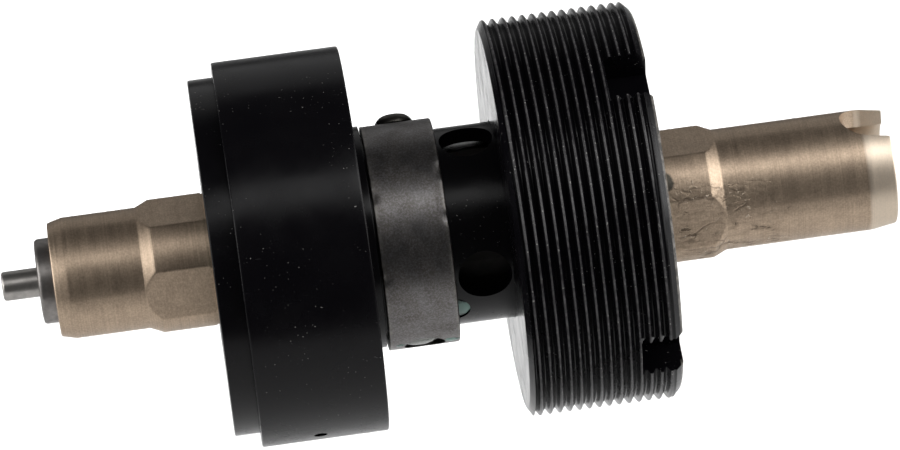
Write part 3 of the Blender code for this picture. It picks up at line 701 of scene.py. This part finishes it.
def cup_bore(cups, face, inboard, side):
    """The outline of a cup's inside, from its outboard face to its inboard one."""
    sleeve_seat = SLEEVE_RADIUS + 0.15 * MM
    shoulder = face - side * cups.seat_depth
    return [
        (face, cups.seat_radius, 0.3 * MM),
        (shoulder, cups.seat_radius),
        (shoulder, sleeve_seat),
        (inboard, sleeve_seat),
    ]


class BRACKET_OT_left_cup(Operator):
    """Turn the smooth left cup"""

    bl_idname = "bracket.left_cup"
    bl_label = "Left cup"

    def execute(self, context):
        cups = context.scene.bracket_cups
        flange = DRUM_RADIUS - cups.flange_step
        step = LEFT_FACE + cups.flange_thickness
        drum_end = BOSS_END - cups.drum_end
        edge = cups.edge
        outline = [
            *cup_bore(cups, LEFT_FACE, BOSS_END, -1),
            (BOSS_END, cups.boss_radius, 0.12 * MM),
            (drum_end, cups.boss_radius),
            (drum_end, DRUM_RADIUS, edge),
            (step, DRUM_RADIUS, edge),
            (step, flange),
            (LEFT_FACE, flange, edge),
        ]
        cup = turned_object("left_cup_finish", outline, 256, 2 * MM)
        hole = radial_rod(
            "grease_hole", step + cups.grease_hole_x, cups.grease_hole_turn,
            cups.grease_hole / 2, DRUM_RADIUS - 4 * MM, DRUM_RADIUS + MM,
        )
        cut(cup, hole)
        finished(cup, LOOKS["black"], "fixed", "black_anodised", "left_cup")
        return {"FINISHED"}


class BRACKET_OT_right_cup(Operator):
    """Turn the threaded right cup and mill its notches"""

    bl_idname = "bracket.right_cup"
    bl_label = "Right cup"

    def execute(self, context):
        cups = context.scene.bracket_cups
        chamfer = cups.ring_chamfer
        tip = CREST_RADIUS - chamfer
        outline = [
            *cup_bore(cups, RIGHT_FACE, RING_START, 1),
            (RING_START, tip, 0.15 * MM),
            (RING_START + 0.6 * chamfer, CREST_RADIUS),
            (RIGHT_FACE - chamfer, CREST_RADIUS),
            (RIGHT_FACE, tip, 0.4 * MM),
        ]

        def longest(start, end):
            on_thread = min(start.y, end.y) > tip - 0.02 * MM
            return cups.pitch / 10 if on_thread else 4 * MM

        cup = turned_object("right_cup_finish", outline, 256, longest)
        grown(
            cup, thread_tree(LOOKS["thread"]),
            {
                "Pitch": cups.pitch, "Depth": cups.depth, "Radius": CREST_RADIUS,
                "Start": RING_START + 0.3 * chamfer, "End": RIGHT_FACE - 0.9 * chamfer,
            },
        )
        notch = bmesh.new()
        bmesh.ops.create_cube(notch, size=1.0)
        low = CREST_RADIUS - cups.notch_depth
        high = CREST_RADIUS + 2 * MM
        size = (cups.notch_length + MM, high - low, cups.notch_width)
        centre = Vector((RIGHT_FACE - cups.notch_length + size[0] / 2, -(low + high) / 2, 0.0))
        turn = Matrix.Rotation(-cups.notch_turn, 3, "X")
        for vert in notch.verts:
            vert.co = turn @ (Vector(a * b for a, b in zip(vert.co, size)) + centre)
        notches = new_object("notches", notch)
        grown(notches, ring_tree(LOOKS["thread"]), {"Count": cups.notches})
        cut(cup, notches)
        finished(cup, LOOKS["thread"], "fixed", "black_anodised", "right_threaded_cup", sharp=40.0)
        return {"FINISHED"}


def screw_places(centre):
    """(name, turn, inner end) of each set screw."""
    play = COLLAR_OFFSET.length
    top = COLLAR_RADIUS - play + centre.top_stands
    bottom = COLLAR_RADIUS + play - centre.bottom_sinks
    return (
        ("top", centre.screw_turn, top - centre.screw_length),
        ("bottom", centre.screw_turn + pi, bottom - centre.screw_length),
    )


def screw_drills(centre, clearance, low, high):
    """A cutter for each set screw's hole, this much wider than the screw all round."""
    radius = centre.screw / 2 + clearance
    places = screw_places(centre)
    return [radial_rod("screw_hole", COLLAR_MIDDLE, turn, radius, low, high) for _, turn, _ in places]


class BRACKET_OT_sleeve(Operator):
    """Turn the centre sleeve and drill its holes"""

    bl_idname = "bracket.sleeve"
    bl_label = "Centre sleeve"

    def execute(self, context):
        centre = context.scene.bracket_centre
        inner = SLEEVE_RADIUS - centre.sleeve_wall
        edge = 0.2 * MM
        outline = [
            (SLEEVE_START, inner, edge),
            (SLEEVE_END, inner, edge),
            (SLEEVE_END, SLEEVE_RADIUS, edge),
            (SLEEVE_START, SLEEVE_RADIUS, edge),
        ]
        sleeve = turned_object("centre_sleeve_finish", outline, 192, 1.2 * MM)
        hole = radial_rod(
            "sleeve_hole", RING_START - centre.hole_from_ring, centre.hole_turn, centre.hole / 2,
            inner - 2 * MM, SLEEVE_RADIUS + 2 * MM, 96,
        )
        grown(hole, ring_tree(LOOKS["black"]), {"Count": centre.holes})
        spot = radial_rod(
            "spot_seat", COLLAR_END - centre.spot_from_collar, centre.spot_turn, centre.spot / 2,
            SLEEVE_RADIUS - centre.spot_depth, SLEEVE_RADIUS + 2 * MM,
        )
        seats = screw_drills(centre, 0.1 * MM, inner - 2 * MM, SLEEVE_RADIUS + 2 * MM)
        cut(sleeve, hole, spot, *seats)
        finished(sleeve, LOOKS["black"], "fixed", "black_anodised", "centre_sleeve")
        return {"FINISHED"}


def nicked(radius, edges, nicks):
    """A shape function that sinks small dents into a turned piece's edges."""

    def shape(x, r, turn):
        if r < radius - 0.5 * MM:
            return r
        for edge, at, width, depth in nicks:
            across = (x - edges[edge]) / (0.9 * MM)
            along = (((turn - at + pi) % (2 * pi)) - pi) * radius / width
            r -= depth * max(0.0, 1 - across * across) * max(0.0, 1 - along * along)
        return r

    return shape


class BRACKET_OT_collar(Operator):
    """Turn the lock collar and drill its screw holes"""

    bl_idname = "bracket.collar"
    bl_label = "Lock collar"

    def execute(self, context):
        centre = context.scene.bracket_centre
        edge = centre.edge
        inner = SLEEVE_RADIUS + 0.12 * MM + COLLAR_OFFSET.length
        outline = [
            (COLLAR_START, inner, 0.1 * MM),
            (COLLAR_END, inner, 0.1 * MM),
            (COLLAR_END, COLLAR_RADIUS, edge),
            (COLLAR_START, COLLAR_RADIUS, 0.5 * edge),
        ]
        nicks = [
            (1, radians(62.0), 1.6 * MM, 0.3 * MM),
            (1, radians(36.0), 0.9 * MM, 0.22 * MM),
            (0, radians(51.0), 1.2 * MM, 0.25 * MM),
            (0, radians(8.0), 0.8 * MM, 0.15 * MM),
        ]
        collar = turned_object(
            "lock_collar_finish", outline, 256, 0.45 * MM,
            nicked(COLLAR_RADIUS, (COLLAR_START, COLLAR_END), nicks),
        )
        collar.data.transform(Matrix.Translation(COLLAR_OFFSET))
        cut(collar, *screw_drills(centre, 0.08 * MM, inner - 2 * MM, COLLAR_RADIUS + 2 * MM))
        finished(collar, LOOKS["collar"], "fixed", "collar_steel", "lock_collar")
        return {"FINISHED"}


class BRACKET_OT_set_screws(Operator):
    """Make the collar's two set screws"""

    bl_idname = "bracket.set_screws"
    bl_label = "Set screws"

    def execute(self, context):
        centre = context.scene.bracket_centre
        radius = centre.screw / 2
        end = centre.screw_length
        chamfer = centre.screw_chamfer
        for name, turn, low in screw_places(centre):
            outline = [
                (0.0, 0.0),
                (0.0, radius - chamfer, 0.2 * MM),
                (chamfer, radius),
                (end - chamfer, radius, 0.7 * MM),
                (end, radius - chamfer, 0.7 * MM),
                (end, 0.0),
            ]
            screw = turned_object(f"set_screw_{name}_finish", outline, 96, 0.12 * MM)
            grown(
                screw, thread_tree(LOOKS["screw"]),
                {
                    "Pitch": centre.screw_pitch, "Depth": 0.5 * MM, "Radius": radius,
                    "Start": 0.0, "End": end - 1.2 * chamfer,
                },
            )
            socket = bmesh.new()
            bmesh.ops.create_cone(
                socket, cap_ends=True, segments=6, radius1=centre.screw_socket / sqrt(3),
                radius2=centre.screw_socket / sqrt(3), depth=centre.screw_length,
                matrix=Matrix.Translation((end, 0.0, 0.0)) @ Matrix.Rotation(pi / 2, 4, "Y"),
            )
            cut(screw, new_object("socket", socket))
            outward = around(0.0, 1.0, turn)
            screw.data.transform(
                Matrix.Translation(around(COLLAR_MIDDLE, low, turn))
                @ outward.to_track_quat("X", "Y").to_matrix().to_4x4()
            )
            finished(screw, LOOKS["screw"], "fixed", "screw_steel", f"set_screw_{name}", sharp=40.0)
        return {"FINISHED"}


def blob(name, x, turn, radius, low, high, lobes, stretch=1.0):
    """A squeezed-out drop that follows the round under it: a low dome with an uneven rim."""
    bm = bmesh.new()
    rings, sides = 6, 40
    top = bm.verts.new(around(x, high, turn))
    loops = []
    for ring in range(1, rings + 1):
        share = ring / rings
        loop = []
        for i in range(sides):
            a = 2 * pi * i / sides
            wobble = 1 + 0.1 * sin(lobes * a + 1.3) + 0.06 * sin((lobes + 3) * a)
            out = radius * share * wobble
            height = low + (high - low) * sqrt(max(0.0, 1 - share * share))
            loop.append(
                bm.verts.new(around(x + stretch * out * cos(a), height, turn + out * sin(a) / high))
            )
        loops.append(loop)
    base = bm.verts.new(around(x, low - 0.1 * MM, turn))
    for i in range(sides):
        j = (i + 1) % sides
        bm.faces.new((top, loops[0][i], loops[0][j]))
        for inner, outer in zip(loops, loops[1:]):
            bm.faces.new((inner[i], outer[i], outer[j], inner[j]))
        bm.faces.new((base, loops[-1][j], loops[-1][i]))
    return new_object(name, bm)


class BRACKET_OT_threadlocker(Operator):
    """Add the cured threadlocker left on the sleeve and collar, and a pale cap painted as the lower
    screw's highlight
    """

    bl_idname = "bracket.threadlocker"
    bl_label = "Threadlocker"

    def execute(self, context):
        centre = context.scene.bracket_centre
        floor = SLEEVE_RADIUS - centre.spot_depth
        # The spot is dark green round an off-centre pale teal patch, and dark green out to its rim at the
        # seat's wall.
        spot = blob(
            "threadlocker_spot", COLLAR_END - centre.spot_from_collar, centre.spot_turn,
            0.485 * centre.spot, floor + 0.5 * MM, floor + 0.67 * MM, 3,
        )
        finished(spot, LOOKS["locker"], "fixed", "seal_rubber")
        outer = COLLAR_RADIUS + COLLAR_OFFSET.length
        turn = centre.screw_turn + pi
        skin = outer - 0.03 * MM
        sunk = outer - centre.bottom_sinks - 0.1 * MM
        drops = (
            ("smear", "locker_skin", 4.0 * MM, 2.5, 1.05 * MM, skin, outer + 0.12 * MM, 3, 1.1),
            # This row is a pale cap in the lower screw's socket: a painted highlight on the screw's end,
            # not threadlocker.
            ("cap", "locker_dry", -0.7 * MM, 0.0, 0.31 * centre.screw, sunk, outer - 0.1 * MM, 2, 1.1),
            ("trace", "locker_skin", -3.7 * MM, 4.0, 0.55 * MM, skin, outer + 0.08 * MM, 4, 1.3),
        )
        for name, look, x, aside, *sizes in drops:
            drop = blob(f"threadlocker_{name}", COLLAR_MIDDLE + x, turn + radians(aside), *sizes)
            finished(drop, LOOKS[look], "fixed", "seal_rubber")
        return {"FINISHED"}


def axle_outline(axle):
    """The axle's outline before its flats are milled, with its end bores and its smaller middle bore."""
    bar = BEARING_BORE_RADIUS
    neck = bar - axle.flat_depth
    tip = neck - axle.tip_drop
    journal = bar - 0.15 * MM
    left_round = LEFT_FACE - axle.left_square
    right_round = RIGHT_FACE + axle.right_square
    bore = axle.end_bore / 2
    left_bore_end = -41.4 * MM
    right_bore_end = AXLE_END - 19 * MM
    through = 4.5 * MM
    seal = 0.3 * MM
    edge = 0.05 * MM
    fine = 0.12 * MM
    return [
        (AXLE_START, bore, 0.2 * MM),
        (AXLE_START, tip, 0.25 * MM),
        (AXLE_START + axle.left_taper, neck, fine),
        (left_round, neck, fine),
        (left_round + axle.lead_in, bar, fine),
        (LEFT_FACE - seal, bar),
        (LEFT_FACE - seal, journal),
        (LEFT_FACE - edge, journal),
        (LEFT_FACE + edge, journal),
        (RIGHT_FACE - edge, journal),
        (RIGHT_FACE + edge, journal),
        (RIGHT_FACE + seal, journal),
        (RIGHT_FACE + seal, bar),
        (right_round - axle.lead_in, bar, fine),
        (right_round, neck, fine),
        (AXLE_END - axle.right_taper, neck, 0.5 * MM),
        (AXLE_END, tip, 0.25 * MM),
        (AXLE_END, bore, 0.2 * MM),
        (right_bore_end, bore),
        (right_bore_end - 2 * MM, through),
        (left_bore_end, through),
        (left_bore_end, bore),
    ]


def squared(axle):
    """A shape function that mills four flats where the bar is thicker than the square."""
    flat = BEARING_BORE_RADIUS - axle.flat_depth
    soft = axle.square_edge

    def shape(x, r, turn):
        outside = x < LEFT_FACE or x > RIGHT_FACE
        if r <= flat or not outside:
            return r
        aside = (turn + pi / 4) % (pi / 2) - pi / 4
        limit = flat / cos(aside)
        gap = (limit - r) / soft
        if gap > 1:
            return r
        if gap < -1:
            return limit
        return min(r, limit) - soft * (1 - abs(gap)) ** 2 / 4

    return shape


class BRACKET_OT_axle(Operator):
    """Turn the axle, mill its flats and cut its slot"""

    bl_idname = "bracket.axle"
    bl_label = "Axle"

    def execute(self, context):
        axle = context.scene.bracket_axle
        flat = BEARING_BORE_RADIUS - axle.flat_depth

        def longest(start, end):
            slanted = min(abs(start.y - end.y), abs(start.x - end.x)) > 0.02 * MM
            outside = start.x < LEFT_FACE or start.x > RIGHT_FACE
            return 0.12 * MM if slanted and outside and start.y > flat - 0.2 * MM else 3 * MM

        piece = turned_object("axle_finish", axle_outline(axle), 480, longest, squared(axle))
        half = axle.slot_width / 2
        centre = AXLE_END - axle.slot_length + half
        beyond = AXLE_END + 2 * MM
        arc = [pi / 2 + pi * i / 32 for i in range(33)]
        outline = [(beyond, -half), (beyond, half)]
        outline += [(centre + half * cos(a), half * sin(a)) for a in arc]
        slot = bmesh.new()
        low = [slot.verts.new((x, y, 0.5 * MM)) for x, y in outline]
        high = [slot.verts.new((x, y, 14 * MM)) for x, y in outline]
        slot.faces.new(low)
        slot.faces.new(high)
        for i in range(len(low)):
            j = (i + 1) % len(low)
            slot.faces.new((low[i], low[j], high[j], high[i]))
        cut(piece, new_object("slot", slot))
        finished(piece, LOOKS["bronze"], "axle", "bronze_anodised", "axle", sharp=20.0)
        return {"FINISHED"}


class BRACKET_OT_plug_and_rod(Operator):
    """Turn the end plug and the push rod"""

    bl_idname = "bracket.plug_and_rod"
    bl_label = "Plug and rod"

    def execute(self, context):
        axle = context.scene.bracket_axle
        rod = axle.rod / 2
        plug = [
            (PLUG_START, rod + 0.08 * MM, 0.15 * MM),
            (PLUG_START, PLUG_RADIUS, axle.plug_edge),
            (PLUG_END, PLUG_RADIUS, 0.3 * MM),
            (PLUG_END, rod + 0.08 * MM),
        ]
        piece = turned_object("axle_end_plug_finish", plug, 160)
        finished(piece, LOOKS["steel"], "axle", "turned_steel", "axle_end_plug")
        shoulder = PLUG_END + 0.3 * MM
        shoulder_end = shoulder + 3 * MM
        rod_outline = [
            (ROD_TIP, 0.0),
            (ROD_TIP, rod, 0.55 * MM),
            (shoulder, rod),
            (shoulder, ROD_SHOULDER_RADIUS, 0.2 * MM),
            (shoulder_end, ROD_SHOULDER_RADIUS, 0.2 * MM),
            (shoulder_end, rod),
            (ROD_TAIL, rod, 0.4 * MM),
            (ROD_TAIL, 0.0),
        ]
        piece = turned_object("push_rod_finish", rod_outline, 96)
        finished(piece, LOOKS["rod"], "push_rod", "turned_steel", "push_rod")
        return {"FINISHED"}


class BRACKET_OT_dust_seals(Operator):
    """Mould the dust seals at both cups' faces"""

    bl_idname = "bracket.dust_seals"
    bl_label = "Dust seals"

    def execute(self, context):
        for name, side in (("left", -1), ("right", 1)):
            start, end, radius = span(f"{name}_dust_seal")
            back, front = (end, start) if side < 0 else (start, end)
            lip = BEARING_BORE_RADIUS + 0.3 * MM
            outline = [
                (back, lip),
                (back, radius),
                (front, radius, 0.2 * MM),
                (front, lip + 1.7 * MM, 0.3 * MM),
                (front - side * 0.8 * MM, lip, 0.1 * MM),
            ]
            piece = turned_object(f"{name}_dust_seal_finish", outline, 160)
            finished(piece, LOOKS["seal"], "fixed", "seal_rubber", f"{name}_dust_seal")
        return {"FINISHED"}


class BRACKET_OT_bearings(Operator):
    """Give both bearings round balls, and finish their rings, circlips and spacer"""

    bl_idname = "bracket.bearings"
    bl_label = "Bearings"

    def execute(self, context):
        for side in ("left", "right"):
            balls = sorted(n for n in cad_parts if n.startswith(f"{side}_ball_") and n[-1].isdigit())
            low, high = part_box(balls[0])
            middle = (low + high) / 2
            bm = bmesh.new()
            bmesh.ops.create_icosphere(
                bm, subdivisions=3, radius=(high.x - low.x) / 2, matrix=Matrix.Translation(middle)
            )
            piece = new_object(f"{side}_balls_finish", bm)
            grown(piece, ring_tree(LOOKS["ball"]), {"Count": len(balls)})
            finished(piece, LOOKS["ball"], f"{side}_cage", "bearing_steel", *balls, sharp=60.0)
        for name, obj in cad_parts.items():
            for word in ("race", "cage", "shield", "circlip", "spacer"):
                if word in name and not obj.hide_render:
                    obj.data.materials.clear()
                    obj.data.materials.append(LOOKS[word])
        return {"FINISHED"}


# ---------------------------------------------------------------- stage


def panel(name, turn, elevation, distance, wide, high, radiance):
    """A soft panel that faces the bracket. Angles are in degrees, and turn runs from the front to +X."""
    turn, elevation = radians(turn), radians(elevation)
    toward = Vector((sin(turn) * cos(elevation), -cos(turn) * cos(elevation), sin(elevation)))
    data = bpy.data.lights.new(name, "AREA")
    data.shape = "RECTANGLE"
    data.size, data.size_y = wide, high
    data.energy = pi * wide * high * radiance
    light = linked(name, data)
    light.location = toward * distance
    light.rotation_euler = toward.to_track_quat("Z", "Y").to_euler()


def add_floor(stage):
    """A sheet of white paper that ends in front of the bracket, and a lamp that lights its back half."""
    look, tree, _ = new_finish("white paper floor")
    fill(tree, tree.nodes["Principled BSDF"], {"Base Color": linear("#f2f2f2"), "Roughness": 0.9})
    bm = bmesh.new()
    bmesh.ops.create_grid(bm, x_segments=1, y_segments=1, size=1.0)
    front, back, half = -stage.floor_front, 3.0, 3.0
    for vert in bm.verts:
        vert.co.x *= half
        vert.co.y = front if vert.co.y < 0 else back
        vert.co.z = -stage.floor_drop
    floor = new_object("floor", bm)
    floor.data.materials.append(look)
    data = bpy.data.lights.new("floor_lamp", "SPOT")
    data.energy = stage.floor_lamp
    data.spot_size = radians(18.5)
    data.spot_blend = 0.25
    data.shadow_soft_size = 0.15
    lamp = linked("floor_lamp", data)
    lamp.location = (0.0, 0.95, 1.0)
    aim = Vector((0.0, 0.44, -stage.floor_drop)) - lamp.location
    lamp.rotation_euler = aim.to_track_quat("-Z", "Y").to_euler()


def add_camera(stage):
    """The camera: it looks down at the bracket, and is rolled so that the axle rises to the right."""
    toward = Vector((0.0, -cos(stage.elevation), sin(stage.elevation)))
    place = Vector((stage.camera_x, 0.0, 0.0)) + toward * stage.distance
    target = Vector((stage.target_x, 0.0, 0.0))
    forward = (target - place).normalized()
    level = (AXIS - forward * AXIS.dot(forward)).normalized()
    above = level.cross(forward)
    right = level * cos(stage.roll) - above * sin(stage.roll)
    up = level * sin(stage.roll) + above * cos(stage.roll)
    data = bpy.data.cameras.new("camera")
    data.sensor_width = 36.0
    data.lens = stage.lens
    data.clip_start = 0.01
    camera = linked("camera", data)
    camera.matrix_world = Matrix.Translation(place + up * stage.target_up) @ Matrix(
        (right, up, -forward)
    ).transposed().to_4x4()
    bpy.context.scene.camera = camera


class BRACKET_OT_stage(Operator):
    """Add the floor, lights and camera"""

    bl_idname = "bracket.stage"
    bl_label = "Stage"

    def execute(self, context):
        stage = context.scene.bracket_stage
        add_floor(stage)
        for name, *place, radiance in (
            ("key", 12.0, 62.5, 0.9, 1.5, 0.25, 1.6),
            ("key_right", 50.0, 52.0, 0.88, 0.5, 0.44, 1.9),
            ("left_side", -80.0, 18.0, 1.0, 0.9, 0.9, 3.2),
            ("right_side", 82.0, 18.0, 1.0, 0.9, 0.9, 3.6),
            ("front_right", 24.0, 2.0, 1.1, 0.34, 0.5, 0.22),
            ("back_wall", 180.0, 24.0, 1.6, 2.4, 1.1, 0.32),
        ):
            panel(name, *place, radiance * stage.light)
        world = bpy.data.worlds.new("studio")
        world.use_nodes = True
        back = world.node_tree.nodes["Background"]
        back.inputs[0].default_value = linear("#ffffff")
        back.inputs[1].default_value = stage.dark
        context.scene.world = world
        context.scene.view_settings.view_transform = "Standard"
        add_camera(stage)
        return {"FINISHED"}


class BRACKET_PT_panel(Panel):
    """Lists the steps that build the bracket"""

    bl_idname = "BRACKET_PT_panel"
    bl_label = "Bottom Bracket"
    bl_space_type = "VIEW_3D"
    bl_region_type = "UI"
    bl_category = "Bracket"

    def draw(self, context):
        for operator in OPERATORS:
            self.layout.operator(operator.bl_idname)


OPERATORS = (
    BRACKET_OT_materials,
    BRACKET_OT_left_cup,
    BRACKET_OT_right_cup,
    BRACKET_OT_sleeve,
    BRACKET_OT_collar,
    BRACKET_OT_set_screws,
    BRACKET_OT_threadlocker,
    BRACKET_OT_axle,
    BRACKET_OT_plug_and_rod,
    BRACKET_OT_dust_seals,
    BRACKET_OT_bearings,
    BRACKET_OT_stage,
)
GROUPS = {
    "bracket_cups": BracketCups,
    "bracket_centre": BracketCentre,
    "bracket_axle": BracketAxle,
    "bracket_looks": BracketLooks,
    "bracket_stage": BracketStage,
}


def register():
    for group in (*GROUPS.values(), *OPERATORS, BRACKET_PT_panel):
        bpy.utils.register_class(group)
    for name, group in GROUPS.items():
        setattr(Scene, name, PointerProperty(type=group))


def unregister():
    for name in GROUPS:
        delattr(Scene, name)
    for group in (BRACKET_PT_panel, *reversed(OPERATORS), *GROUPS.values()):
        bpy.utils.unregister_class(group)


def main():
    register()
    for operator in OPERATORS:
        category, name = operator.bl_idname.split(".")
        getattr(getattr(bpy.ops, category), name)()


if __name__ == "__main__":
    main()
